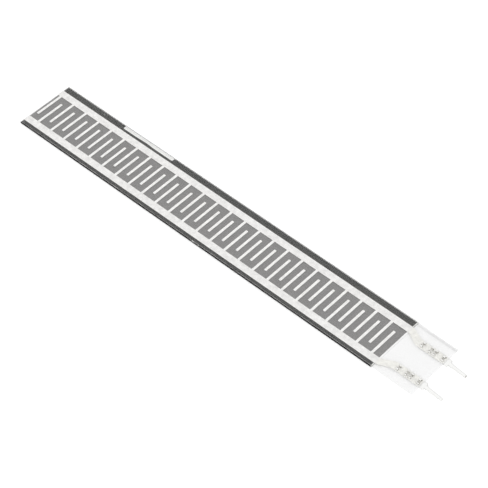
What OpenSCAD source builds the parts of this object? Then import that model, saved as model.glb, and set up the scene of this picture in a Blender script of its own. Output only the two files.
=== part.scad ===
// Force sensing resistor strip: a carbon print on a milky film faces two interleaved
// silver combs on a clear film, with a clear tail and two crimped solder terminals.
// Millimetres. +X runs along the strip to the terminals, +Y to the edge with the
// window in the carbon, +Z up. The origin is the bottom centre of the whole part.

/* [Strip] */
// Width of the strip
strip_w = 15.08; // [13.8:0.01:20]
// Width of the open field between the two spacer adhesive rails
field_w = 8.92; // [7.5:0.01:10]
// Offset of the prints, rails and terminals from the middle of the strip
print_shift = -0.24; // [-0.4:0.01:0.4]
// Clear film and adhesive past the end of the carbon print
end_margin = 0.35; // [0.1:0.05:1]

/* [Silver combs] */
// Fingers on each comb
comb_fingers = 25; // [12:1:40]
// Distance from one finger to the next finger of the other comb
finger_pitch = 2.032; // [1.5:0.001:2.6]
// Width of a finger
finger_w = 0.61; // [0.4:0.01:0.9]
// Radius of the corners at a finger's tip
finger_r = 0.16; // [0.05:0.01:0.19]
// Gap between a finger's tip and the bus of the other comb
tip_gap = 1.62; // [0.8:0.01:2.2]
// Width of the bus that joins a comb's fingers
bus_w = 1.74; // [1.2:0.01:2]
// Distance from the cut end of the strip to the middle of the first finger
cut_lead = 0.89; // [0.5:0.01:1.2]
// Distance from the middle of the last finger to the end of the carbon print
last_lead = 1.86; // [1.2:0.01:2.4]

/* [Carbon window] */
// Length of the window along the edge
window_l = 15.16; // [8:0.01:20]
// Depth of the window from the edge
window_d = 0.86; // [0.5:0.01:1.2]
// Distance from the cut end to the window
window_start = 18.48; // [6:0.01:40]
// Radius of the window's inner corners
window_r = 0.3; // [0.1:0.05:0.35]
// Height of the shallow rise in the window's inner edge
rise_d = 0.15; // [0.05:0.01:0.4]
// Distance from the window's start to the peak of that rise
rise_peak = 7.4; // [5:0.1:8]
// Length of the rise before its peak
rise_before = 3.8; // [1:0.1:4.5]
// Length of the rise past its peak
rise_after = 2; // [1:0.1:2.5]

/* [Layer thicknesses] */
// Mounting adhesive on the underside
rear_adhesive_t = 0.05; // [0.03:0.01:0.1]
// Film that carries the carbon print
base_film_t = 0.13; // [0.08:0.01:0.2]
// Height between the two films
spacer_t = 0.15; // [0.1:0.01:0.2]
// Film that carries the silver combs
electrode_film_t = 0.13; // [0.08:0.01:0.2]
// Carbon print
carbon_t = 0.02; // [0.01:0.005:0.03]
// Silver print
silver_t = 0.02; // [0.01:0.005:0.03]

/* [Tail] */
// Length of the single clear film past the laminate
tail_l = 10.37; // [9.6:0.01:16]
// Distance between the two terminals, middle to middle
pad_pitch = 7.74; // [6.5:0.01:9]
// Silver that shows on each side of a terminal's plate
pad_border = 0.1; // [0.05:0.01:0.3]
// Length of the bend between the bus and its pad
bend_l = 4; // [2:0.1:4.5]
// Clear film between the pad and the end of the tail
pad_margin = 0.25; // [0.1:0.05:0.6]
// Radius of the corners at the end of the pad
pad_r = 0.5; // [0.1:0.05:0.8]

/* [Terminals] */
// Length of the flat plate crimped to the pad
plate_l = 7.75; // [7:0.05:9]
// Width of the plate
plate_w = 1.8; // [1.7:0.05:2.3]
// Length of plate that shows past the end of the tail
plate_overhang = 0.8; // [0.5:0.05:1.5]
// Chamfer on the corners of the plate
plate_chamfer = 0.25; // [0.05:0.05:0.4]
// Thickness of the terminal metal
terminal_t = 0.2; // [0.12:0.01:0.28]
// Length of the pin past the plate
pin_l = 4.45; // [3:0.05:6]
// Width of the pin where it leaves the plate
pin_root_w = 0.8; // [0.5:0.05:1]
// Width of the pin before its tip
pin_tip_w = 0.56; // [0.4:0.02:0.8]
// Length of the tapered point
point_l = 0.3; // [0.1:0.05:0.5]
// Length of the bend that lets the pin down to the table
drop_l = 0.9; // [0.5:0.05:1.5]

/* [Crimp tines] */
// Width of a tine, along the strip
tine_w = 0.6; // [0.35:0.01:0.7]
// Width across the two tines of a row
tine_span = 1.4; // [1.36:0.02:1.6]
// Thickness of a tine
tine_t = 0.14; // [0.1:0.01:0.18]
// Outer radius of the curl above the film
curl_r = 0.27; // [0.2:0.01:0.27]
// Gap between the two tines of a row where they curl back to the film
tine_gap = 0.2; // [0.05:0.01:0.2]
// Distance from the end of the tail to the middle of the tine group
tine_inset = 3.46; // [3.3:0.02:4]
// Distance from the middle of the group to its outer rows
row_reach = 2.65; // [2:0.05:2.7]
// Distance between the two rows in the middle
row_split = 1.05; // [0.95:0.05:1.3]
// Clearance round a tine where it comes through the film
slot_gap = 0.04; // [0.02:0.01:0.08]

/* [Hidden] */
$fn = 32;

far = 1;
near = -1;

// Heights of the layers, from the underside up
base_z = rear_adhesive_t;
carbon_z = base_z + base_film_t;
film_z = carbon_z + spacer_t;
film_top = film_z + electrode_film_t;
silver_z = film_z - silver_t;
plate_z = silver_z - terminal_t;

// Distances along the strip from its cut end
finger_count = 2 * comb_fingers;
carbon_end = cut_lead + (finger_count - 1) * finger_pitch + last_lead;
laminate_end = carbon_end + end_margin;
tail_end = laminate_end + tail_l;
pad_end = tail_end - pad_margin;
bend_end = carbon_end + bend_l;
plate_end = tail_end + plate_overhang;
plate_start = plate_end - plate_l;
pin_end = plate_end + pin_l;
tine_mid = tail_end - tine_inset;
tine_rows = [tine_mid - row_reach, tine_mid - row_split / 2,
             tine_mid + row_split / 2, tine_mid + row_reach];

// Distances across the strip: the edges from its middle, the prints from the prints' own middle
half_w = strip_w / 2;
bus_in = field_w / 2;
bus_out = bus_in + bus_w;
finger_l = 2 * bus_in - tip_gap;
pad_w = plate_w + 2 * pad_border;
stem_y = (tine_span - tine_t) / 2;

bend_steps = 16;

// One ease from 0 to 1 with level ends
function ease(t) = (1 - cos(180 * t)) / 2;

// Middle of the pad and terminal on one side, from the prints' own middle
function pad_y(side) = side * pad_pitch / 2;

// One edge of the trace through the bend, from the bus at y0 to the pad at y1
function bend_edge(y0, y1) =
    [for (i = [0:bend_steps]) [carbon_end + bend_l * i / bend_steps, y0 + (y1 - y0) * ease(i / bend_steps)]];

function backwards(points) = [for (i = [len(points) - 1:-1:0]) points[i]];

// Moves what is laid out from the cut end so that the part's middle is the origin
module along_strip(z) {
    translate([-pin_end / 2, 0, z]) children();
}

// The same for what lies on the prints' own middle line
module along_prints(z) {
    translate([0, print_shift, 0]) along_strip(z) children();
}

// A plain sheet over the full width, from the cut end
module sheet(z, length, thickness) {
    along_strip(z)
        translate([0, -half_w, 0]) cube([length, strip_w, thickness]);
}

// The bus, its bend and its pad, seen from above
module trace_outline(side) {
    pad = pad_y(side);
    bus_low = side > 0 ? bus_in : -bus_out;
    bus_high = bus_low + bus_w;
    lower = bend_edge(bus_low, pad - pad_w / 2);
    upper = bend_edge(bus_high, pad + pad_w / 2);
    polygon(concat([[0, bus_low]], lower, backwards(upper), [[0, bus_high]]));
    translate([bend_end, pad - pad_w / 2]) square([pad_end - pad_r - bend_end, pad_w]);
    translate([bend_end, pad - pad_w / 2 + pad_r]) square([pad_end - bend_end, pad_w - 2 * pad_r]);
    for (corner = [-1, 1])
        translate([pad_end - pad_r, pad + corner * (pad_w / 2 - pad_r)]) circle(pad_r);
}

// One finger along +Y, rooted in the middle of its bus, whose inner edge is at zero
module finger_outline() {
    root = bus_w / 2;
    translate([-finger_w / 2, -root]) square([finger_w, root + finger_l - finger_r]);
    translate([finger_r - finger_w / 2, -root]) square([finger_w - 2 * finger_r, root + finger_l]);
    for (corner = [-1, 1])
        translate([corner * (finger_w / 2 - finger_r), finger_l - finger_r]) circle(finger_r);
}

// Slots that the tines come through
module tine_slots(side, z, height) {
    for (x = tine_rows, row_side = [-1, 1])
        translate([x - tine_w / 2 - slot_gap, pad_y(side) + row_side * stem_y - tine_t / 2 - slot_gap, z])
            cube([tine_w + 2 * slot_gap, tine_t + 2 * slot_gap, height]);
}

// Silver comb: fingers, bus, bend and pad in one print; the near comb starts one pitch later
module electrode(side) {
    first = side > 0 ? 0 : 1;
    towards_middle = side > 0 ? 180 : 0;
    color("gainsboro")
        along_prints(silver_z)
        difference() {
            linear_extrude(silver_t) {
                trace_outline(side);
                for (i = [0:comb_fingers - 1])
                    translate([cut_lead + (2 * i + first) * finger_pitch, side * bus_in])
                    rotate(towards_middle) finger_outline();
            }
            tine_slots(side, -silver_t, 3 * silver_t);
        }
}

// Carbon print outline with the window in its far edge
module carbon_outline() {
    difference() {
        translate([0, -half_w]) square([carbon_end, strip_w]);
        translate([window_start, half_w - window_d]) window_outline();
    }
}

// The window from its start and its inner edge, which rises a little near the middle
module window_outline() {
    difference() {
        union() {
            translate([0, window_r]) square([window_l, window_d]);
            translate([window_r, 0]) square([window_l - 2 * window_r, window_d]);
            for (x = [window_r, window_l - window_r]) translate([x, window_r]) circle(window_r);
        }
        polygon([[rise_peak - rise_before, 0], [rise_peak + rise_after, 0], [rise_peak, rise_d]]);
    }
}

// Adhesive rail that fills the height between the films round the prints that it holds
module spacer(side) {
    inner = print_shift + side * bus_in;
    color("whitesmoke")
        difference() {
            along_strip(carbon_z)
                translate([0, side > 0 ? inner : -half_w, 0]) cube([laminate_end, half_w - side * inner, spacer_t]);
            along_strip(carbon_z - carbon_t) linear_extrude(2 * carbon_t) carbon_outline();
            along_prints(film_z - silver_t) linear_extrude(2 * silver_t) trace_outline(side);
        }
}

// Plate and pin of the terminal, seen from above, pointing along +X
module terminal_outline() {
    half = plate_w / 2;
    polygon([
        [plate_start + plate_chamfer, half],
        [plate_start, half - plate_chamfer],
        [plate_start, plate_chamfer - half],
        [plate_start + plate_chamfer, -half],
        [plate_end - plate_chamfer, -half],
        [plate_end, plate_chamfer - half],
        [plate_end, -pin_root_w / 2],
        [pin_end - point_l, -pin_tip_w / 2],
        [pin_end, -pin_tip_w / 4],
        [pin_end, pin_tip_w / 4],
        [pin_end - point_l, pin_tip_w / 2],
        [plate_end, pin_root_w / 2],
        [plate_end, half - plate_chamfer],
        [plate_end - plate_chamfer, half]
    ]);
}

// Side view of the same metal: level plate, a short drop, then the pin along the table
module terminal_profile() {
    drop_end = plate_end + drop_l;
    polygon([
        [plate_start, plate_z],
        [plate_start, plate_z + terminal_t],
        [plate_end, plate_z + terminal_t],
        [drop_end, terminal_t],
        [pin_end - point_l, terminal_t],
        [pin_end, terminal_t * 3 / 4],
        [pin_end, terminal_t / 4],
        [pin_end - point_l, 0],
        [drop_end, 0],
        [plate_end, plate_z]
    ]);
}

// A bar with round ends of radius r, from one end's middle to the other's
module round_bar(from, to, r) {
    translate([from, -r]) square([to - from, 2 * r]);
    for (y = [from, to]) translate([y, 0]) circle(r);
}

// One tine seen along the strip: a stem up through the film, then over and back down to it
module tine_profile() {
    root_z = plate_z + terminal_t / 4;
    curl_z = film_top + slot_gap;
    from = tine_gap / 2 + curl_r;
    to = tine_span / 2 - curl_r;
    translate([stem_y - tine_t / 2, root_z]) square([tine_t, curl_z - root_z]);
    translate([0, curl_z])
        difference() {
            round_bar(from, to, curl_r);
            round_bar(from, to, curl_r - tine_t);
            translate([-plate_w, -2 * curl_r]) square([3 * plate_w, 2 * curl_r]);
        }
}

// Everything but the openings that the tines leave in the plate
module lanced_area() {
    opening = tine_span - 2 * tine_t;
    difference() {
        translate([plate_start, -plate_w, 0]) cube([pin_end - plate_start, 2 * plate_w, film_top]);
        for (x = tine_rows)
            translate([x - tine_w / 2, -opening / 2, -terminal_t]) cube([tine_w, opening, film_top + terminal_t]);
    }
}

// Crimped solder terminal: plate under the pad, curled tines above the film, pin past the end
module terminal(side) {
    color("silver")
        along_prints(0)
        translate([0, pad_y(side), 0]) {
            intersection() {
                linear_extrude(film_top) terminal_outline();
                translate([0, plate_w, 0]) rotate([90, 0, 0]) linear_extrude(2 * plate_w) terminal_profile();
                lanced_area();
            }
            for (x = tine_rows, row_side = [0, 1])
                mirror([0, row_side, 0])
                    translate([x - tine_w / 2, 0, 0])
                    rotate([90, 0, 90]) linear_extrude(tine_w) tine_profile();
        }
}

module rear_adhesive() {
    color("linen") sheet(0, laminate_end, rear_adhesive_t);
}

module base_film() {
    color("ghostwhite") sheet(base_z, laminate_end, base_film_t);
}

module carbon_layer() {
    color("dimgray") along_strip(carbon_z) linear_extrude(carbon_t) carbon_outline();
}

module electrode_film() {
    color("aliceblue")
        difference() {
            sheet(film_z, tail_end, electrode_film_t);
            along_prints(film_z) {
                tine_slots(far, -electrode_film_t, 3 * electrode_film_t);
                tine_slots(near, -electrode_film_t, 3 * electrode_film_t);
            }
        }
}

module far_spacer() { spacer(far); }
module near_spacer() { spacer(near); }
module far_electrode() { electrode(far); }
module near_electrode() { electrode(near); }
module far_terminal() { terminal(far); }
module near_terminal() { terminal(near); }

rear_adhesive();
base_film();
carbon_layer();
far_spacer();
near_spacer();
electrode_film();
far_electrode();
near_electrode();
far_terminal();
near_terminal();
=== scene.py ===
import bpy
import numpy as np
from mathutils import Matrix, Vector


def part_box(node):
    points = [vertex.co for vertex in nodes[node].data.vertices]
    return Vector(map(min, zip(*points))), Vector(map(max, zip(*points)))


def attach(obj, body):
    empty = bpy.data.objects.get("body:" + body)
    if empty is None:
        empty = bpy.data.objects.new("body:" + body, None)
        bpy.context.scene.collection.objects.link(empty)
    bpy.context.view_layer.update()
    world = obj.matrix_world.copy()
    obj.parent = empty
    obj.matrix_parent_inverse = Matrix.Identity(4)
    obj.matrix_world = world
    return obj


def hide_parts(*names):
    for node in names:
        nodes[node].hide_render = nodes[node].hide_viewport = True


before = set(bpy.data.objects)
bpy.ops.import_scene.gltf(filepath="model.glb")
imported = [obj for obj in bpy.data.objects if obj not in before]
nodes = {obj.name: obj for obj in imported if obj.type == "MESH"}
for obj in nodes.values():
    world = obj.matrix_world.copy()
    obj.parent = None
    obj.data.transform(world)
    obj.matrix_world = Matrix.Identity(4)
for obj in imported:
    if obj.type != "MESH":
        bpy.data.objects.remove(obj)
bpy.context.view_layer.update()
mm = 0.001  # every size below is in millimetres
print("stage 1: packed solids loaded", sorted(nodes))


def boxOf(node):
    low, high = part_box(node)
    return np.array(low) / mm, np.array(high) / mm


# Heights and places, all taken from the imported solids.
filmLow, filmHigh = boxOf("electrode_film")
baseLow, baseHigh = boxOf("base_film")
glueLow, glueHigh = boxOf("rear_adhesive")
carbonLow, carbonHigh = boxOf("carbon_layer")
silverLow, silverHigh = boxOf("far_electrode")
printMiddle = (boxOf("far_spacer")[0][1] + boxOf("near_spacer")[1][1]) / 2
railInner = boxOf("far_spacer")[0][1] - printMiddle
traceOuter = silverHigh[1] - printMiddle
sheetHalf = filmHigh[1]
laminateEnd = baseHigh[0]
faceGap = 0.004  # the sheets touch in the solids; this keeps two faces from sharing a plane


def toLinear(hexColour):
    value = np.array([int(hexColour[i:i + 2], 16) for i in (1, 3, 5)]) / 255
    linear = np.where(value <= 0.04045, value / 12.92, ((value + 0.055) / 1.055) ** 2.4)
    return (*linear.tolist(), 1.0)


# Adds a node, sets its inputs or settings, and joins its inputs to the sockets given.
def addNode(tree, kind, settings=None, links=None):
    node = tree.nodes.new("ShaderNode" + kind)
    for name, value in (settings or {}).items():
        if isinstance(name, int) or name in node.inputs:
            node.inputs[name].default_value = value
        else:
            setattr(node, name, value)
    for name, socket in (links or {}).items():
        tree.links.new(socket, node.inputs[name])
    return node


def newMaterial(name):
    material = bpy.data.materials.new(name)
    material.use_nodes = True
    material.node_tree.nodes.clear()
    return material, material.node_tree


# Sum, product, power and so on of sockets and plain numbers.
def compute(tree, operation, *values):
    node = addNode(tree, "Math", {"operation": operation})
    for place, value in enumerate(values):
        if isinstance(value, (int, float)):
            node.inputs[place].default_value = value
        else:
            tree.links.new(value, node.inputs[place])
    return node.outputs[0]


# Smooth step from one value to another while the socket goes from low to high.
def ramp(tree, socket, low, high, start=0.0, end=1.0):
    settings = {"interpolation_type": "SMOOTHSTEP", 1: low, 2: high, 3: start, 4: end}
    return addNode(tree, "MapRange", settings, {0: socket}).outputs[0]


# The same step along a direction, between two places in millimetres.
def stepAt(tree, socket, low, high):
    return ramp(tree, socket, low * mm, high * mm)


# One inside a stripe between two places, with soft sides.
def stripe(tree, socket, low, high, soft):
    rise = stepAt(tree, socket, low - soft, low + soft)
    fall = stepAt(tree, socket, high - soft, high + soft)
    return compute(tree, "SUBTRACT", rise, fall)


# Object place in metres: the vector, x, y, z, and the distance from the prints' middle line.
def objectPlace(tree):
    place = addNode(tree, "TexCoord").outputs["Object"]
    x, y, z = addNode(tree, "SeparateXYZ", links={0: place}).outputs
    across = compute(tree, "ABSOLUTE", compute(tree, "SUBTRACT", y, float(printMiddle * mm)))
    return place, x, y, z, across


def mixColour(tree, factor, first, second):
    node = addNode(tree, "Mix", {"data_type": "RGBA"}, {0: factor})
    for place, colour in ((6, first), (7, second)):
        if isinstance(colour, str):
            node.inputs[place].default_value = toLinear(colour)
        else:
            tree.links.new(colour, node.inputs[place])
    return node.outputs[2]


# A colour made lighter and darker by a pattern, by up to the amount each way.
def grained(tree, colour, pattern, amount):
    shade = addNode(tree, "MapRange", {1: 0.3, 2: 0.7, 3: 1 - amount, 4: 1 + amount}, {0: pattern}).outputs[0]
    return addNode(tree, "VectorMath", {"operation": "SCALE"}, {0: colour, "Scale": shade}).outputs[0]


# A clear face: what passes is tinted, and a share is mirrored, a few hundredths face on and rising
# to one at a graze. The share is the same from both sides, since the ray isn't bent in the sheet.
def clearFace(tree, through, mirror, roughness, normal=None, mirrorScale=None):
    facing = {"Normal": normal} if normal else {}
    slant = addNode(tree, "LayerWeight", {"Blend": 0.5}, facing).outputs["Facing"]
    share = compute(tree, "MULTIPLY_ADD", compute(tree, "POWER", slant, 5.0), 1 - mirror, mirror)
    if mirrorScale:
        share = compute(tree, "MULTIPLY", share, mirrorScale)
    clear = addNode(tree, "BsdfTransparent", links={"Color": through})
    gloss = addNode(tree, "BsdfGlossy", {"Roughness": roughness}, facing)
    return addNode(tree, "MixShader", links={0: share, 1: clear.outputs[0], 2: gloss.outputs[0]}).outputs[0]


# How level a face is: one on the flat faces of a sheet, zero on its cut walls and turned edges.
def levelShare(tree):
    normal = addNode(tree, "TexCoord").outputs["Normal"]
    up = addNode(tree, "SeparateXYZ", links={0: normal}).outputs[2]
    return ramp(tree, compute(tree, "ABSOLUTE", up), 0.85, 0.98)


# A matt coat laid over a shader by a factor: dust, scuffs, frayed edges, painted shade on the cut walls and a painted
# glint line.
def coatedBy(tree, shader, factor, colour):
    dust = addNode(tree, "BsdfDiffuse", {"Color": toLinear(colour)}).outputs[0]
    return addNode(tree, "MixShader", links={0: factor, 1: shader, 2: dust}).outputs[0]


# A soft-ended scratch: one inside length by width round a centre, turned by an angle in degrees.
def scratch(tree, place, centre, angle, length, width):
    turned = addNode(tree, "Mapping", {"vector_type": "TEXTURE", "Location": (centre[0] * mm, centre[1] * mm, 0),
                                       "Rotation": (0, 0, np.radians(angle))}, {0: place}).outputs[0]
    alongIt, acrossIt, upward = addNode(tree, "SeparateXYZ", links={0: turned}).outputs
    inLength = stripe(tree, alongIt, -length / 2, length / 2, length / 5)
    inWidth = stripe(tree, acrossIt, -width / 2, width / 2, width / 3)
    return compute(tree, "MULTIPLY", inLength, inWidth)


# One near the long cut edges of the laminate, where painted shade darkens the cut walls and the carbon's rim, standing
# for the carbon mirrored inside the clear walls and the shade under the edge.
def paintedWallShade(tree, x, y):
    out = compute(tree, "ABSOLUTE", y)
    atEdge = stepAt(tree, out, sheetHalf - 0.1, sheetHalf - 0.03)
    return compute(tree, "MULTIPLY", atEdge, stepAt(tree, x, laminateEnd, laminateEnd - 0.1))


clearFilm = {
    "through": "#fbfbfb",        # what one face lets through
    "tailEdgeShadow": "#f5f5f5",       # the same in a band inside the tail's far edge: a painted shadow of that cut edge
    "lineFrom": 6.72, "lineTo": 7.45, "lineSoft": 0.12,
    "wallShade": "#1c1c1c",        # the same on the long cut walls: painted shade for the carbon mirrored inside them and the shade under the edge
    "mirror": 0.03,              # share mirrored face on
    "roughness": 0.07,
    "dust": "#dcdcda", "cutDust": 0.25,
    "nicks": ((-5.83, 0.3), (-4.25, 0.15)),      # place along the near edge, half length
    "scratches": (((-46.76, 6.8), -52.0, 0.45, 0.2),),      # place, angle, length, width
}


# Drawn polyester film, clear: an even soft gloss, dull cut walls with painted shade on the long ones, a painted shadow
# along the tail's far edge, white where it was nicked.
def makeClearFilm():
    material, tree = newMaterial("clearPolyesterFilm")
    place, x, y, z, across = objectPlace(tree)
    haze = addNode(tree, "TexNoise", {"Scale": 900.0, "Detail": 3.0}, {"Vector": place}).outputs[0]
    bump = addNode(tree, "Bump", {"Strength": 0.03, "Distance": 0.0001}, {"Height": haze}).outputs[0]
    onTail = stepAt(tree, x, laminateEnd - 0.1, laminateEnd + 0.2)
    # painted shadow: a darker tint in a band inside the tail's far cut edge
    line = stripe(tree, y, clearFilm["lineFrom"], clearFilm["lineTo"], clearFilm["lineSoft"])
    line = compute(tree, "MULTIPLY", line, onTail)
    through = mixColour(tree, line, clearFilm["through"], clearFilm["tailEdgeShadow"])
    level = levelShare(tree)
    cutWall = compute(tree, "SUBTRACT", 1.0, level)
    # painted shade on the long cut walls
    wallShaded = compute(tree, "MULTIPLY", cutWall, paintedWallShade(tree, x, y))
    through = mixColour(tree, wallShaded, through, clearFilm["wallShade"])
    body = clearFace(tree, through, clearFilm["mirror"], clearFilm["roughness"], bump, level)
    dust = compute(tree, "MULTIPLY", compute(tree, "SUBTRACT", cutWall, wallShaded), clearFilm["cutDust"])
    nearEdge = stepAt(tree, y, -sheetHalf + 0.25, -sheetHalf + 0.1)
    ragged = ramp(tree, addNode(tree, "TexNoise", {"Scale": 7000.0, "Detail": 2.0}, {0: place}).outputs[0], 0.35, 0.55)
    for centre, half in clearFilm["nicks"]:
        nick = compute(tree, "MULTIPLY", stripe(tree, x, centre - half, centre + half, 0.1), nearEdge)
        dust = compute(tree, "MAXIMUM", dust, compute(tree, "MULTIPLY", nick, ragged))
    for mark in clearFilm["scratches"]:
        dust = compute(tree, "MAXIMUM", dust, compute(tree, "MULTIPLY", scratch(tree, place, *mark), 0.4))
    addNode(tree, "OutputMaterial", links={0: coatedBy(tree, body, dust, clearFilm["dust"])})
    return material


baseFilm = {"milky": "#ffffff", "wallShade": "#0e0e0e", "roughness": 0.5}


# Milky polyester film that carries the carbon: pale and even where the window and the end bare it,
# with painted shade on its long cut walls.
def makeBaseFilm():
    material, tree = newMaterial("milkyPolyesterFilm")
    place, x, y, z, across = objectPlace(tree)
    cloud = addNode(tree, "TexNoise", {"Scale": 450.0, "Detail": 3.0}, {"Vector": place}).outputs[0]
    # painted shade on the long cut walls
    wallShaded = compute(tree, "MULTIPLY", compute(tree, "SUBTRACT", 1.0, levelShare(tree)),
                      paintedWallShade(tree, x, y))
    colour = addNode(tree, "RGB")
    colour.outputs[0].default_value = toLinear(baseFilm["milky"])
    body = addNode(tree, "BsdfPrincipled", {"Roughness": baseFilm["roughness"], "IOR": 1.6},
                   {"Base Color": grained(tree, colour.outputs[0], cloud, 0.03)})
    coated = coatedBy(tree, body.outputs[0], wallShaded, baseFilm["wallShade"])
    addNode(tree, "OutputMaterial", links={0: coated})
    return material


spacerGlue = {
    "through": "#fdfdfc", "thick": "#f9f9f8", "mirror": 0.004, "roughness": 0.2,
    "glint": "#d6d6d3", "glintLine": (-7.34, -7.26), "faint": 0.65, "strong": 0.95,
    "end": "#727270",            # darker colour laid on the end wall at the tail
    "strongRuns": ((-49.8, -48.3), (-40.5, -34.8), (-31.9, -28.3), (-22.3, -20.8)),
}


# Acrylic spacer adhesive: wets both films, so it hardly mirrors. A broken pale line of painted glints runs
# inside the near cut edge, and its end wall at the tail is drawn darker.
def makeSpacerGlue():
    material, tree = newMaterial("spacerAcrylicAdhesive")
    place, x, y, z, across = objectPlace(tree)
    tint = addNode(tree, "TexNoise", {"Scale": 1400.0, "Detail": 2.0}, {"Vector": place}).outputs[0]
    through = mixColour(tree, ramp(tree, tint, 0.4, 0.8), spacerGlue["through"], spacerGlue["thick"])
    body = clearFace(tree, through, spacerGlue["mirror"], spacerGlue["roughness"])
    strong = 0.0
    for start, end in spacerGlue["strongRuns"]:
        strong = compute(tree, "MAXIMUM", stripe(tree, x, start, end, 0.3), strong)
    breaks = addNode(tree, "TexNoise", {"Scale": 450.0, "Detail": 4.0}, {0: place}).outputs[0]
    broken = ramp(tree, breaks, 0.3, 0.6, 0.5)
    weight = ramp(tree, strong, 0.0, 1.0, spacerGlue["faint"], spacerGlue["strong"])
    # painted glint: a broken pale line inside the near cut edge
    amount = compute(tree, "MULTIPLY", compute(tree, "MULTIPLY", broken, weight),
                     stripe(tree, y, *spacerGlue["glintLine"], 0.04))
    glinted = coatedBy(tree, body, amount, spacerGlue["glint"])
    endWall = compute(tree, "MULTIPLY", compute(tree, "SUBTRACT", 1.0, levelShare(tree)),
                      stepAt(tree, x, laminateEnd - 0.1, laminateEnd - 0.02))
    addNode(tree, "OutputMaterial", links={0: coatedBy(tree, glinted, endWall, spacerGlue["end"])})
    return material


mountingGlue = {"pale": "#e4e4e1", "wetted": "#dbdbd8", "wallShade": "#161616", "roughness": 0.45}


# Milky acrylic mounting adhesive: pale, mottled where it has wetted the film unevenly, with painted shade on its long
# cut walls.
def makeMountingGlue():
    material, tree = newMaterial("mountingAcrylicAdhesive")
    place, x, y, z, across = objectPlace(tree)
    mottle = addNode(tree, "TexNoise", {"Scale": 700.0, "Detail": 4.0}, {"Vector": place}).outputs[0]
    colour = mixColour(tree, ramp(tree, mottle, 0.4, 0.65), mountingGlue["pale"], mountingGlue["wetted"])
    # painted shade on the long cut walls
    wallShaded = compute(tree, "MULTIPLY", compute(tree, "SUBTRACT", 1.0, levelShare(tree)),
                      paintedWallShade(tree, x, y))
    bump = addNode(tree, "Bump", {"Strength": 0.15, "Distance": 0.00003}, {"Height": mottle}).outputs[0]
    body = addNode(tree, "BsdfPrincipled", {"Roughness": mountingGlue["roughness"], "IOR": 1.47},
                   {"Base Color": colour, "Normal": bump}).outputs[0]
    addNode(tree, "OutputMaterial", links={0: coatedBy(tree, body, wallShaded, mountingGlue["wallShade"])})
    return material


carbonInk = {
    "open": "#878685",     # in the open field, dry under its air gap
    "wet": "#3a3a39",      # under the adhesive rails, which deepen it
    "rim": "#101010",      # painted shade along the slit edges
    "under": "#2c2c2c",    # seen from below through the film
    "grain": 0.06,
    "grainSize": 0.5,      # mesh grain is finer than this; drawn as coarse as it needs to show
}


# Screen-printed carbon ink, matt with a fine mesh grain; deeper where adhesive wets it, with painted shade along the
# slit edges.
def makeCarbon():
    material, tree = newMaterial("printedCarbonInk")
    place, x, y, z, across = objectPlace(tree)
    wet = stepAt(tree, across, railInner - 0.03, railInner + 0.03)
    colour = mixColour(tree, wet, carbonInk["open"], carbonInk["wet"])
    # painted shade along the slit edges, from the same edge mask
    colour = mixColour(tree, paintedWallShade(tree, x, y), colour, carbonInk["rim"])
    top = stepAt(tree, z, carbonLow[2] + 0.005, carbonHigh[2] - 0.002)
    colour = mixColour(tree, top, carbonInk["under"], colour)
    grain = addNode(tree, "TexNoise", {"Scale": 1 / (carbonInk["grainSize"] * mm), "Detail": 2.0},
                    {"Vector": place}).outputs[0]
    bump = addNode(tree, "Bump", {"Strength": 0.2, "Distance": 0.00001}, {"Height": grain}).outputs[0]
    ink = addNode(tree, "BsdfPrincipled", {"Roughness": 0.6},
                  {"Base Color": grained(tree, colour, grain, carbonInk["grain"]), "Normal": bump})
    addNode(tree, "OutputMaterial", links={0: ink.outputs[0]})
    return material


silverInk = {
    "finger": "#fdfcfa",   # under the air gap
    "bus": "#f6f5f3",      # under the adhesive rail
    "tail": "#f7f6f1",     # a little yellower on the bare tail
    "grain": 0.09,
    "grainSize": 0.8,
}


# Screen-printed silver ink: flakes lying flat give a bright satin white with a fine grain.
def makeSilver():
    material, tree = newMaterial("printedSilverInk")
    place, x, y, z, across = objectPlace(tree)
    inBus = stepAt(tree, across, railInner - 0.02, railInner + 0.05)
    onTail = stepAt(tree, x, laminateEnd - 0.3, laminateEnd + 0.3)
    colour = mixColour(tree, inBus, silverInk["finger"], silverInk["bus"])
    colour = mixColour(tree, onTail, colour, silverInk["tail"])
    grain = addNode(tree, "TexNoise", {"Scale": 1 / (silverInk["grainSize"] * mm), "Detail": 3.0},
                    {"Vector": place}).outputs[0]
    bump = addNode(tree, "Bump", {"Strength": 0.2, "Distance": 0.00001}, {"Height": grain}).outputs[0]
    ink = addNode(tree, "BsdfPrincipled", {"Metallic": 0.1, "Roughness": 0.45},
                  {"Base Color": grained(tree, colour, grain, silverInk["grain"]), "Normal": bump})
    addNode(tree, "OutputMaterial", links={0: ink.outputs[0]})
    return material


# inside is painted shade for the curls' hollows, parts of the crowns and the pin tips
tinPlate = {"bright": "#fafaf9", "dull": "#f5f5f3", "cut": "#b8b8b5", "inside": "#bab8b3", "roughness": 0.35}


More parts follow.
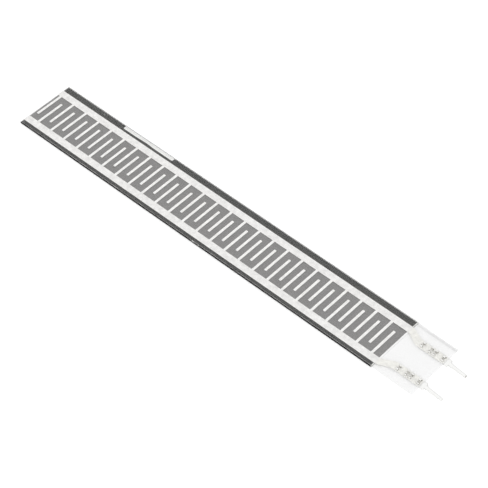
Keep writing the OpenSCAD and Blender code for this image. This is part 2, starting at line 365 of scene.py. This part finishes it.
# Bright tin over stamped brass: pale and slightly warm with fine rolling lines, duller on the cut edges and
# with painted shade on the far cut edges past the film, inside the curls, on parts of the crowns and at the pin tips.
def makeTin():
    material, tree = newMaterial("tinnedBrass")
    place = addNode(tree, "TexCoord").outputs["Object"]
    stretched = addNode(tree, "Mapping", {"Scale": (300.0, 6000.0, 6000.0)}, {0: place}).outputs[0]
    lines = addNode(tree, "TexNoise", {"Scale": 1.0, "Detail": 3.0}, {"Vector": stretched}).outputs[0]
    cutFace = addNode(tree, "Attribute", {"attribute_name": "cutFace"}).outputs["Fac"]
    inside = addNode(tree, "Attribute", {"attribute_name": "paintedShadeMark"}).outputs["Fac"]
    colour = mixColour(tree, lines, tinPlate["bright"], tinPlate["dull"])
    colour = mixColour(tree, cutFace, colour, tinPlate["cut"])
    colour = mixColour(tree, inside, colour, tinPlate["inside"])
    bump = addNode(tree, "Bump", {"Strength": 0.15, "Distance": 0.00002}, {"Height": lines}).outputs[0]
    metal = addNode(tree, "BsdfPrincipled", {"Metallic": 1.0, "Roughness": tinPlate["roughness"]},
                    {"Base Color": colour, "Normal": bump})
    addNode(tree, "OutputMaterial", links={0: metal.outputs[0]})
    return material


# Start, end and inner edge of the window in the carbon: the widest gap between corners of the print
# along its far edge, and the lowest corner of the print inside that gap.
def findWindow():
    corners = np.array([corner.co for corner in nodes["carbon_layer"].data.vertices]) / mm
    rim = np.unique(corners[corners[:, 1] > carbonHigh[1] - 0.01, 0].round(3))
    start, end = rim[1], rim[-2]
    inside = (corners[:, 0] > start) & (corners[:, 0] < end) & (corners[:, 1] > 0)
    return float(start), float(end), float(corners[inside, 1].min())


windowStart, windowEnd, windowInner = findWindow()
clearFilmMaterial = makeClearFilm()
baseFilmMaterial = makeBaseFilm()
spacerMaterial = makeSpacerGlue()
mountingMaterial = makeMountingGlue()
tinMaterial = makeTin()


def dressNode(node, material):
    mesh = nodes[node].data
    mesh.materials.clear()
    mesh.materials.append(material)


silverMaterial = makeSilver()
dressNode("carbon_layer", makeCarbon())
dressNode("far_electrode", silverMaterial)
dressNode("near_electrode", silverMaterial)
print("stage 2: materials made, window in the carbon at", windowStart, windowEnd, windowInner)


# A closed sheet on a grid of places: an upper and a lower height at every grid point, and a wall
# wherever a kept cell meets a dropped one or the rim. Returns points, faces and the grid points used.
def sheetSurface(gridX, gridY, upperZ, lowerZ, kept):
    count = gridX.size
    points = np.concatenate([np.stack([gridX, gridY, z], -1).reshape(-1, 3) for z in (upperZ, lowerZ)])
    index = np.arange(count).reshape(gridX.shape)
    corners = [index[:-1, :-1][kept], index[1:, :-1][kept], index[1:, 1:][kept], index[:-1, 1:][kept]]
    faces = [np.stack(corners, -1), np.stack(corners[::-1], -1) + count]
    padded = np.pad(kept, 1)
    low, high = padded[1:-1, :-1], padded[1:-1, 1:]
    left, right = padded[:-1, 1:-1], padded[1:, 1:-1]
    along, over = (index[:-1, :], index[1:, :]), (index[:, :-1], index[:, 1:])
    for wall, a, b in ((high & ~low, *along), (low & ~high, *along[::-1]),
                       (right & ~left, *over[::-1]), (left & ~right, *over)):
        faces.append(np.stack([a[wall] + count, b[wall] + count, b[wall], a[wall]], -1))
    used, faces = np.unique(np.concatenate(faces), return_inverse=True)
    return points[used], faces.reshape(-1, 4), used % count


# A closed bar: loops of points (station, point round the loop, xyz) joined by quads, with a flat
# face over each end.
def barSurface(loops):
    stations, around = loops.shape[:2]
    index = np.arange(stations * around).reshape(stations, around)
    onward = np.roll(index, -1, axis=1)
    quads = np.stack([index[:-1], onward[:-1], onward[1:], index[1:]], -1).reshape(-1, 4)
    return loops.reshape(-1, 3), quads.tolist() + [index[0, ::-1].tolist(), index[-1].tolist()]


# Grid lines from low to high: even steps inside, and a few close lines at each end where the cut
# edge turns over.
def gridLines(low, high, step, turn, extra=()):
    close = turn * np.array([0, 0.1, 0.35, 1.0])
    inside = np.linspace(low + turn, high - turn, max(2, int(round((high - low) / step)) + 1))
    return np.unique(np.round(np.concatenate([low + close, inside, high - close, extra]), 5))


# How far a face drops near its rim: the quarter circle of the turned edge.
def edgeDrop(inward, turn):
    reach = np.clip(turn - inward, 0, turn)
    return turn - np.sqrt(turn ** 2 - reach ** 2)


def inwardOf(gridX, gridY, low, high):
    return np.minimum(np.minimum(gridX - low[0], high[0] - gridX), np.minimum(gridY - low[1], high[1] - gridY))


# The edge of an adhesive layer wanders where it squeezes: a sum of slow waves along x.
def wander(x, amount, phase):
    waves = 0.5 * np.sin(0.83 * x + phase) + 0.3 * np.sin(2.1 * x + 2 * phase) + 0.2 * np.sin(4.7 * x - phase)
    return amount * waves


def addPiece(name, points, faces, material, replaced, marks=None, smoothAngle=35):
    mesh = bpy.data.meshes.new(name)
    mesh.from_pydata((np.asarray(points) * mm).tolist(), [], [list(face) for face in faces])
    for markName, values in (marks or {}).items():
        mark = mesh.attributes.new(markName, "FLOAT", "POINT")
        mark.data.foreach_set("value", np.asarray(values, np.float32))
    mesh.update()
    mesh.shade_smooth()
    mesh.set_sharp_from_angle(angle=np.radians(smoothAngle))
    mesh.materials.append(material)
    piece = bpy.data.objects.new(name, mesh)
    bpy.context.scene.collection.objects.link(piece)
    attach(piece, "root")
    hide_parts(*replaced)
    return piece


terminal = {
    "plateHalf": 0.9, "overhang": 0.8, "chamfer": 0.25, "shoulder": 0.08, "thickness": 0.2, "edgeTurn": 0.04,
    "pinRootHalf": 0.4, "pinTipHalf": 0.33, "point": 0.3, "drop": 0.9,
    "tineWidth": 0.6, "tineTipWidth": 0.4, "tineThickness": 0.14, "tineSpan": 1.4, "curl": 0.27, "tineGap": 0.2,
    "rows": (-2.65, -0.525, 0.525, 2.65), "rowInset": 3.46, "slotGap": 0.04,
    "pinLean": -0.28,      # the pins were bent a little towards the near edge
    "edgeShine": 0.3,      # how much of the cut edge's dullness shows, but all of it along the far edges past the film, where the darker edge is also painted shade
    "tineDarkening": 0.12,      # the tines are drawn a little darker than the plate
}
stemPlace = (terminal["tineSpan"] - terminal["tineThickness"]) / 2
rowPlaces = [filmHigh[0] - terminal["rowInset"] + row for row in terminal["rows"]]


# Plate and pin as one sheet whose half width follows the outline: chamfered ends, filleted
# shoulders and a point, with the openings that the tines left, dropping to the table past the plate.
def plateSurface(middleY, startX, endX, topZ, darkTip):
    t = terminal
    plateEnd = filmHigh[0] + t["overhang"]
    soft, half, root, tip = t["chamfer"], t["plateHalf"], t["pinRootHalf"], t["pinTipHalf"]
    shoulder = t["shoulder"]
    outline = np.array([
        [startX, half - soft], [startX + soft, half], [plateEnd - shoulder, half], [plateEnd, half - shoulder],
        [plateEnd + 0.01, root + 0.1], [plateEnd + 0.04, root + 0.03], [plateEnd + 0.1, root],
        [endX - t["point"], tip], [endX - 0.1, tip - 0.07], [endX, tip / 2],
    ])
    openingEnds = np.array([[row - t["tineWidth"] / 2, row + t["tineWidth"] / 2] for row in rowPlaces])
    close = t["edgeTurn"] * np.array([0, 0.1, 0.35, 1.0])
    xs = np.unique(np.round(np.concatenate([
        outline[:, 0], openingEnds.ravel(), startX + close, endX - close,
        np.linspace(startX + soft, plateEnd - soft, 20), np.linspace(plateEnd + 0.15, endX - t["point"], 24),
    ]), 5))
    widest = half
    opening = t["tineSpan"] / 2 - t["tineThickness"]
    share = np.concatenate([[0, 0.3, opening / widest], 1 - close[::-1] / widest])
    share = np.unique(np.concatenate([-share, share]))
    halfWidth = np.interp(xs, outline[:, 0], outline[:, 1])
    gridX = np.repeat(xs[:, None], len(share), 1)
    gridY = middleY + halfWidth[:, None] * share[None, :]
    inward = np.minimum(halfWidth[:, None] * (1 - np.abs(share)), np.minimum(gridX - startX, endX - gridX))
    fall = np.clip((xs - plateEnd) / t["drop"], 0, 1)
    fall = fall * fall * (3 - 2 * fall)
    thick = np.interp(xs, [endX - t["point"], endX], [t["thickness"], t["thickness"] / 2])
    middleZ = ((topZ - t["thickness"] / 2) * (1 - fall) + t["thickness"] / 2 * fall)[:, None]
    reach = np.minimum(t["edgeTurn"], thick / 2)[:, None]
    bow = edgeDrop(inward, t["edgeTurn"]) * reach / t["edgeTurn"]
    upper = middleZ + thick[:, None] / 2 - bow
    lower = middleZ - thick[:, None] / 2 + bow
    cellX = (gridX[1:, 1:] + gridX[:-1, :-1]) / 2
    cellShare = np.abs((share[1:] + share[:-1]) / 2)[None, :] * widest
    kept = np.ones(cellX.shape, bool)
    for start, end in openingEnds:
        kept &= ~((cellX > start) & (cellX < end) & (cellShare < opening))
    gridY = gridY + t["pinLean"] * np.clip((gridX - plateEnd) / (endX - plateEnd), 0, 1)
    points, faces, used = sheetSurface(gridX, gridY, upper, lower, kept)
    # far edges past the film take the full cut colour: duller sheared metal, and painted shade along the far side
    farEdgeShade = (gridX > filmHigh[0]) & (share[None, :] > 0)
    cut = np.clip(1.2 - inward / t["edgeTurn"], 0, 1) * np.where(farEdgeShade, 1.0, t["edgeShine"])
    cut = cut.ravel()[used]
    # painted shade at the pin's tip, where its bent end face is in shade
    dark = darkTip * np.clip((points[:, 0] - endX + 0.3) / 0.1, 0, 1)
    return points, faces.tolist(), cut, dark


# Loop of a rounded rectangle: four quarter circles of the corner radius.
def roundedLoop(halfWidth, halfHeight, radius, perCorner=4):
    turn = np.linspace(0, np.pi / 2, perCorner)
    angle = np.concatenate([turn + quarter * np.pi / 2 for quarter in range(4)])
    signs = np.repeat([[1, 1], [-1, 1], [-1, -1], [1, -1]], perCorner, axis=0)
    width, height = np.asarray(halfWidth)[:, None], np.asarray(halfHeight)[:, None]
    corner = np.minimum(radius, np.minimum(width, height) * 0.98)
    return (signs[:, 0] * (width - corner) + corner * np.cos(angle),
            signs[:, 1] * (height - corner) + corner * np.sin(angle))


# One tine: a rounded strip carried up its stem, round the curl and back down to the film, growing
# narrower and thinner towards its tip.
def tineSurface(rowX, middleY, side, rootZ, filmTop, lean, darkFrom, darkTo):
    t = terminal
    radius = t["curl"] - t["tineThickness"] / 2
    curlZ = filmTop + t["slotGap"]
    outer, inner = t["tineSpan"] / 2 - t["curl"], t["tineGap"] / 2 + t["curl"]
    turn = np.linspace(0, np.pi / 2, 8)
    pathY = np.concatenate([[stemPlace, stemPlace], outer + radius * np.cos(turn), inner - radius * np.sin(turn)])
    pathZ = np.concatenate([[rootZ, curlZ - 0.02], curlZ + radius * np.sin(turn), curlZ + radius * np.cos(turn)])
    slopeY, slopeZ = np.gradient(pathY), np.gradient(pathZ)
    size = np.hypot(slopeY, slopeZ)
    normalY, normalZ = (slopeZ / size)[:, None], (-slopeY / size)[:, None]
    travel = np.concatenate([[0], np.cumsum(np.hypot(np.diff(pathY), np.diff(pathZ)))])
    share = travel / travel[-1]
    tipWidth = t["tineTipWidth"]
    width = np.interp(share, [0, 0.55, 0.95, 1], [t["tineWidth"], t["tineWidth"], tipWidth, tipWidth * 0.8])
    thick = t["tineThickness"] * np.interp(share, [0, 0.7, 1], [1, 1, 0.6])
    across, up = roundedLoop(width / 2, thick / 2, 0.035)
    loops = np.stack([
        rowX + across + lean * share[:, None] ** 2,
        middleY + side * (pathY[:, None] + up * normalY),
        pathZ[:, None] + up * normalZ,
    ], -1)
    ends = np.abs(across) / (width[:, None] / 2)
    cut = t["edgeShine"] * np.clip((ends - 0.9) / 0.1, 0, 1) * (share[:, None] > 0.1)
    # painted shade: the curl's inner side and the given share of each tine are darkened as shade
    curlShade = (up < -0.2 * thick[:, None]) & (share[:, None] > 0.2)
    curlShade = np.where(curlShade | ((share[:, None] > darkFrom) & (share[:, None] < darkTo)), 1.0, t["tineDarkening"])
    if side < 0:
        loops, cut, curlShade = loops[:, ::-1], cut[:, ::-1], curlShade[:, ::-1]
    points, faces = barSurface(loops)
    return points, faces, cut.ravel(), curlShade.ravel()


def addTerminal(node, name, crimps, darkTip):
    low, high = boxOf(node)
    middleY = (low[1] + high[1]) / 2
    plateTop = silverLow[2] - 0.001
    parts = [plateSurface(middleY, low[0], high[0], plateTop, darkTip)]
    for row, rowX in enumerate(rowPlaces):
        parts += [tineSurface(rowX, middleY, side, plateTop - 0.15, filmHigh[2], *crimp)
                  for side, crimp in zip((1, -1), crimps[row])]
    offsets = np.cumsum([0] + [len(part[0]) for part in parts[:-1]])
    faces = [[corner + int(offset) for corner in face] for part, offset in zip(parts, offsets) for face in part[1]]
    marks = {"cutFace": np.concatenate([part[2] for part in parts]),
             "paintedShadeMark": np.concatenate([part[3] for part in parts])}
    addPiece(name, np.concatenate([part[0] for part in parts]), faces, tinMaterial, [node], marks, 50)


# The crimp is never quite even. For the far and the near tine of each row: how far the tip leans along
# the strip, and from and to which share of its length it is painted dark as shade.
addTerminal("far_terminal", "farTerminal", (
    ((0.2, 0.76, 1.1), (-0.1, 0.6, 1.1)),
    ((0.15, 0.6, 0.9), (-0.1, 0.54, 0.7)),
    ((0.1, 0.7, 1.1), (0.05, 0.54, 0.7)),
    ((-0.2, 0.85, 1.1), (0.1, 0.56, 1.1)),
), 1.0)
addTerminal("near_terminal", "nearTerminal", (
    ((0.25, 0.76, 1.1), (-0.1, 0.6, 1.1)),
    ((0.25, 0.68, 0.95), (0.1, 0.54, 0.7)),
    ((0.2, 0.74, 1.1), (0.0, 0.54, 0.7)),
    ((-0.2, 0.85, 1.1), (0.15, 0.54, 1.1)),
), 0.2)
print("stage 3: terminals made")


# Rectangles cut for the tines: x from and to, y from and to.
def slotRectangles():
    t = terminal
    halfX, halfY = t["tineWidth"] / 2 + t["slotGap"], t["tineThickness"] / 2 + t["slotGap"]
    middles = [sum(boxOf(node)[end][1] for end in (0, 1)) / 2 for node in ("far_terminal", "near_terminal")]
    places = [(x, middle + side * stemPlace) for middle in middles for x in rowPlaces for side in (1, -1)]
    return np.array([(x - halfX, x + halfX, y - halfY, y + halfY) for x, y in places])


def addElectrodeFilm():
    turn, lift, reach, bite, droop = 0.03, 0.025, 0.25, 0.1, 0.18
    slots = slotRectangles()
    tailX = np.arange(rowPlaces[0] - 0.8, filmHigh[0] - 0.1, 0.15)
    nickX = np.concatenate([centre + half * np.linspace(-1.4, 1.4, 15) for centre, half in clearFilm["nicks"]])
    xs = gridLines(filmLow[0], filmHigh[0], 1.0, turn, np.concatenate([slots[:, 0], slots[:, 1], tailX, nickX]))
    ys = gridLines(filmLow[1], filmHigh[1], 0.25, turn, np.concatenate([slots[:, 2], slots[:, 3]]))
    gridX, gridY = np.meshgrid(xs, ys, indexing="ij")
    middleX, middleY = (gridX[1:, 1:] + gridX[:-1, :-1]) / 2, (gridY[1:, 1:] + gridY[:-1, :-1]) / 2
    kept = np.ones(middleX.shape, bool)
    pucker = np.zeros(gridX.shape)
    for x0, x1, y0, y1 in slots:
        kept &= ~((middleX > x0) & (middleX < x1) & (middleY > y0) & (middleY < y1))
        awayX = np.maximum(np.maximum(x0 - gridX, gridX - x1), 0)
        awayY = np.maximum(np.maximum(y0 - gridY, gridY - y1), 0)
        pucker = np.maximum(pucker, np.exp(-((awayX ** 2 + awayY ** 2) / reach ** 2)))
    drop = edgeDrop(inwardOf(gridX, gridY, filmLow, filmHigh), turn)
    upper = filmHigh[2] - drop + lift * pucker
    lower = np.full(gridX.shape, filmLow[2] + faceGap) + lift * 0.5 * pucker
    sideways = np.clip((np.abs(gridY) - 5.6) / (sheetHalf - 5.6), 0, 1)
    lengthwise = np.clip((gridX - laminateEnd - 0.8) / 3, 0, 1)
    fall = droop * sideways ** 2 * lengthwise ** 2 * (3 - 2 * lengthwise)
    upper, lower = upper - fall, lower - fall
    nearRim = np.clip(1 - (gridY - filmLow[1]) / 0.5, 0, 1)
    for centre, half in clearFilm["nicks"]:
        gridY = gridY + bite * nearRim * np.clip(1 - np.abs(gridX - centre) / half, 0, 1) ** 0.7
    points, faces, used = sheetSurface(gridX, gridY, upper, lower, kept)
    addPiece("electrodeFilmClear", points, faces, clearFilmMaterial, ["electrode_film"])


def addBaseFilm():
    turn = 0.02
    xs, ys = gridLines(baseLow[0], baseHigh[0], 2.0, turn), gridLines(baseLow[1], baseHigh[1], 1.0, turn)
    gridX, gridY = np.meshgrid(xs, ys, indexing="ij")
    drop = edgeDrop(inwardOf(gridX, gridY, baseLow, baseHigh), turn)
    points, faces, used = sheetSurface(gridX, gridY, baseHigh[2] - faceGap / 2 - drop, baseLow[2] + faceGap / 2 + drop,
                                       np.ones((len(xs) - 1, len(ys) - 1), bool))
    addPiece("baseFilmMilky", points, faces, baseFilmMaterial, ["base_film"])


def addMountingAdhesive():
    xs, ys = gridLines(glueLow[0], glueHigh[0], 0.8, 0.02), gridLines(glueLow[1], glueHigh[1], 1.2, 0.02)
    gridX, gridY = np.meshgrid(xs, ys, indexing="ij")
    outward = (gridY / sheetHalf) ** 9
    gridY = gridY - outward * np.abs(wander(gridX, 0.03, 1.0))
    points, faces, used = sheetSurface(gridX, gridY, np.full(gridX.shape, glueHigh[2] - faceGap / 2),
                                       np.full(gridX.shape, glueLow[2]), np.ones((len(xs) - 1, len(ys) - 1), bool))
    addPiece("mountingAdhesive", points, faces, mountingMaterial, ["rear_adhesive"])


rail = {"recess": 0.02, "wander": 0.03, "wetting": 0.004}


# Spacer rail: thin under the silver bus and thick outside it, with a wandering edge at each side.
# Its underside dips a hair into the print and the film that it wets, also in the carbon's window.
def addRail(side, name, node):
    low, high = boxOf(node)
    outer = sheetHalf - side * printMiddle - rail["recess"]
    step, window = traceOuter + 0.02, windowInner - printMiddle
    xs = gridLines(low[0], high[0], 0.4, 0.02, [windowStart - 0.02, windowStart, windowEnd, windowEnd + 0.02])
    ys = np.array([railInner, railInner + 0.03, 4.8, 5.4, step - 0.01, step, window - 0.02, window, outer - 0.2,
                   outer - 0.05, outer])
    gridX, gridY = np.meshgrid(xs, ys, indexing="ij")
    upper = np.where(gridY < step - 0.005, silverLow[2] - faceGap, filmLow[2] + faceGap / 4)
    inWindow = (gridX > windowStart - 0.01) & (gridX < windowEnd + 0.01) & (gridY > window - 0.01) & (side > 0)
    pastPrint = gridX > carbonHigh[0]
    lower = np.where(inWindow | pastPrint, carbonLow[2], carbonHigh[2]) - rail["wetting"]
    inside = np.clip((4.9 - gridY) / (4.9 - railInner), 0, 1)
    outside = np.clip((gridY - outer + 0.2) / 0.2, 0, 1)
    amount = rail["wander"]
    gridY = gridY + wander(gridX, amount, 2.0 + side) * inside
    gridY = gridY - np.abs(wander(gridX, amount, 4.0 + side)) * outside
    gridY = printMiddle + side * gridY
    grids = [grid[:, ::side] for grid in (gridX, gridY, upper, lower)]
    points, faces, used = sheetSurface(*grids, np.ones((len(xs) - 1, len(ys) - 1), bool))
    addPiece(name, points, faces, spacerMaterial, [node])


addElectrodeFilm()
addBaseFilm()
addMountingAdhesive()
addRail(1, "farSpacerRail", "far_spacer")
addRail(-1, "nearSpacerRail", "near_spacer")
print("stage 4: films and adhesives made")


viewPoint = {
    "place": (177.195, -191.516, 298.56),
    "right": (0.73955853, 0.67308918, -0.0020335),
    "down": (0.50751749, -0.55961559, -0.65517661),
    "lens": 137.14,
}


def addCamera():
    data = bpy.data.cameras.new("photoCamera")
    data.sensor_width, data.lens = 36.0, viewPoint["lens"]
    data.clip_start, data.clip_end = 0.01, 5.0
    camera = bpy.data.objects.new("photoCamera", data)
    right, up = Vector(viewPoint["right"]), -Vector(viewPoint["down"])
    turned = Matrix([right, up, right.cross(up)]).transposed().to_4x4()
    camera.matrix_world = Matrix.Translation(Vector(viewPoint["place"]) * mm) @ turned
    bpy.context.scene.collection.objects.link(camera)
    bpy.context.scene.camera = camera


floor = {"size": 1500.0, "z": -0.02, "colour": "#ffffff"}


# Matt white studio sheet under the part.
def addFloor():
    half, z = floor["size"] * mm / 2, floor["z"] * mm
    mesh = bpy.data.meshes.new("studioSheet")
    mesh.from_pydata([(-half, -half, z), (half, -half, z), (half, half, z), (-half, half, z)], [], [(0, 1, 2, 3)])
    material, tree = newMaterial("mattWhitePaper")
    paper = addNode(tree, "BsdfDiffuse", {"Color": toLinear(floor["colour"])})
    addNode(tree, "OutputMaterial", links={0: paper.outputs[0]})
    mesh.materials.append(material)
    sheet = bpy.data.objects.new("studioSheet", mesh)
    bpy.context.scene.collection.objects.link(sheet)


light = {"dome": 0.94, "key": 0.9, "keyAngle": 40.0, "keyPlace": (0.35, -0.55, 0.76)}


# An even white dome, with one wide soft lamp from the near right. The camera, gloss and glass see the
# dome as plain white.
def addLight():
    world = bpy.data.worlds.new("softDome")
    bpy.context.scene.world = world
    world.use_nodes = True
    tree = world.node_tree
    tree.nodes.clear()
    dome = addNode(tree, "Background", {"Color": (1, 1, 1, 1), "Strength": light["dome"]})
    white = addNode(tree, "Background", {"Color": (1, 1, 1, 1), "Strength": 1.0})
    path = addNode(tree, "LightPath").outputs
    seen = compute(tree, "MAXIMUM", path["Is Camera Ray"], path["Is Glossy Ray"])
    seen = compute(tree, "MAXIMUM", seen, path["Is Transmission Ray"])
    mixed = addNode(tree, "MixShader", links={0: seen, 1: dome.outputs[0], 2: white.outputs[0]})
    addNode(tree, "OutputWorld", links={0: mixed.outputs[0]})
    data = bpy.data.lights.new("softKey", "SUN")
    data.energy, data.angle = light["key"], np.radians(light["keyAngle"])
    key = bpy.data.objects.new("softKey", data)
    key.rotation_mode = "QUATERNION"
    key.rotation_quaternion = Vector(light["keyPlace"]).to_track_quat("Z", "Y")
    bpy.context.scene.collection.objects.link(key)


addCamera()
addFloor()
addLight()
bpy.context.scene.view_settings.view_transform = "Standard"
print("stage 5: camera, floor and light set")

bpy.context.view_layer.update()
